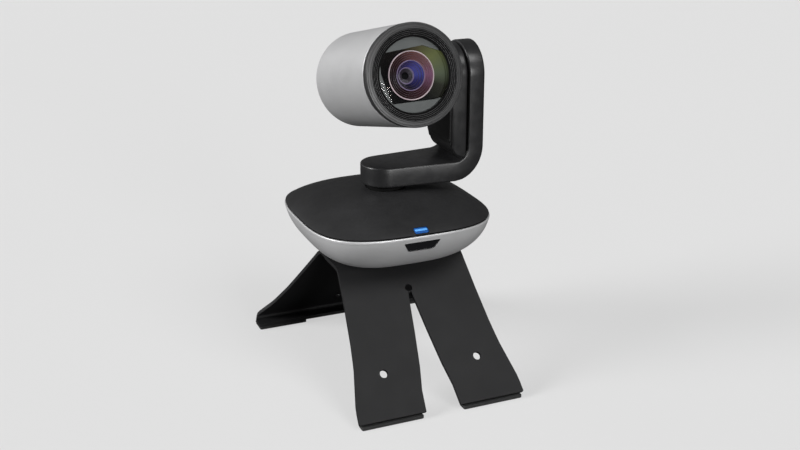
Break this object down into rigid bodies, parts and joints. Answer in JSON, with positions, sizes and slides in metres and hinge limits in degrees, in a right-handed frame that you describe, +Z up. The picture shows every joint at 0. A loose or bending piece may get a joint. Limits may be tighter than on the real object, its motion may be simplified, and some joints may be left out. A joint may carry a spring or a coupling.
{
  "type": "ptz camera",
  "caption": "Pan-tilt-zoom conference camera: a tilting barrel head on a side arm over a rounded base, standing on a bent sheet stand with two front legs.",
  "frame": {"origin": "on the supporting surface, at the middle of the overall box; the pan axis stands 9 mm behind it", "axes": "+X towards the arm's side, -Y the way the lens faces, +Z up"},
  "size_m": [0.1518, 0.185, 0.2494],
  "materials": {
    "silver": "satin silver paint",
    "dome_black": "fine-textured satin black",
    "black_plastic": "satin black",
    "matte_black": "matte black",
    "stand_paint": "dark grey powder coat",
    "smoked": "glossy, nearly opaque",
    "blue_lens": "blue, translucent",
    "clear_glass": "clear, coated",
    "lens_glass": "multi-coated",
    "rubber": "matte",
    "steel": "plain",
    "brass": "turned",
    "gear_nylon": "moulded",
    "circuit_board": "solder-masked"
  },
  "bodies": {
    "stand": {"stand_bracket": "stand_paint", "front_pad_left": "rubber", "front_pad_right": "rubber", "rear_pad_left": "rubber", "rear_pad_right": "rubber", "base_bowl": "silver", "base_dome": "dome_black", "bottom_plate": "black_plastic", "foot_ring": "rubber", "tripod_insert": "brass", "ir_window": "smoked", "led_lens": "blue_lens", "ir_receiver": "matte_black", "led_board": "circuit_board", "power_socket": "steel", "power_pin": "brass", "data_socket": "steel", "main_board": "circuit_board", "main_processor": "black_plastic", "pan_carrier": "black_plastic", "pan_bearing": "steel", "pan_motor": "steel", "case_screw_1": "steel", "case_screw_2": "steel", "case_screw_3": "steel", "case_screw_4": "steel"},
    "clamp_screw": {"thumb_screw": "steel"},
    "pan_drive": {"pan_pinion": "brass"},
    "arm": {"arm_shell": "black_plastic", "arm_cover": "black_plastic", "tilt_motor": "steel", "tilt_bearing": "steel", "pan_hub": "black_plastic", "pan_collar": "black_plastic", "pan_gear": "gear_nylon"},
    "tilt_drive": {"tilt_pinion": "brass"},
    "head": {"barrel_sleeve": "silver", "rear_cap": "matte_black", "front_bezel": "matte_black", "front_window": "clear_glass", "lens_mask": "matte_black", "lens_barrel": "matte_black", "front_lens": "lens_glass", "iris_ring": "matte_black", "image_sensor": "smoked", "sensor_board": "circuit_board", "head_board": "circuit_board", "tilt_hub": "black_plastic", "tilt_gear": "gear_nylon"},
    "zoom_cell": {"zoom_group": "lens_glass"},
    "focus_cell": {"focus_group": "lens_glass"}
  },
  "joints": [
    {"name": "pan", "type": "hinge", "parent": "stand", "child": "arm", "pos_m": [0, 0.009, 0.115], "axis": [0, 0, 1], "range_deg": [-130, 130]},
    {"name": "tilt", "type": "hinge", "parent": "arm", "child": "head", "pos_m": [0, 0.009, 0.2049], "axis": [-1, 0, 0], "range_deg": [-53.4, 76.6]},
    {"name": "zoom", "type": "slide", "parent": "head", "child": "zoom_cell", "axis": [0, -0.9728, 0.2317], "range_m": [-0.006, 0.01]},
    {"name": "focus", "type": "slide", "parent": "head", "child": "focus_cell", "axis": [0, -0.9728, 0.2317], "range_m": [-0.005, 0.005]},
    {"name": "pan_pinion_spin", "type": "hinge", "parent": "stand", "child": "pan_drive", "pos_m": [0, 0.038, 0.115], "axis": [0, 0, 1], "range_deg": [-624, 624]},
    {"name": "tilt_pinion_spin", "type": "hinge", "parent": "arm", "child": "tilt_drive", "pos_m": [0.047, 0.009, 0.1879], "axis": [-1, 0, 0], "range_deg": [-183.84, 128.16]},
    {"name": "screw_turn", "type": "hinge", "parent": "stand", "child": "clamp_screw", "pos_m": [0, 0.009, 0.075], "axis": [0, 0, 1], "continuous": true}
  ],
  "couplings": [
    {"joint": "pan_pinion_spin", "follows": "pan", "ratio": -4.8},
    {"joint": "tilt_pinion_spin", "follows": "tilt", "ratio": -2.4}
  ]
}
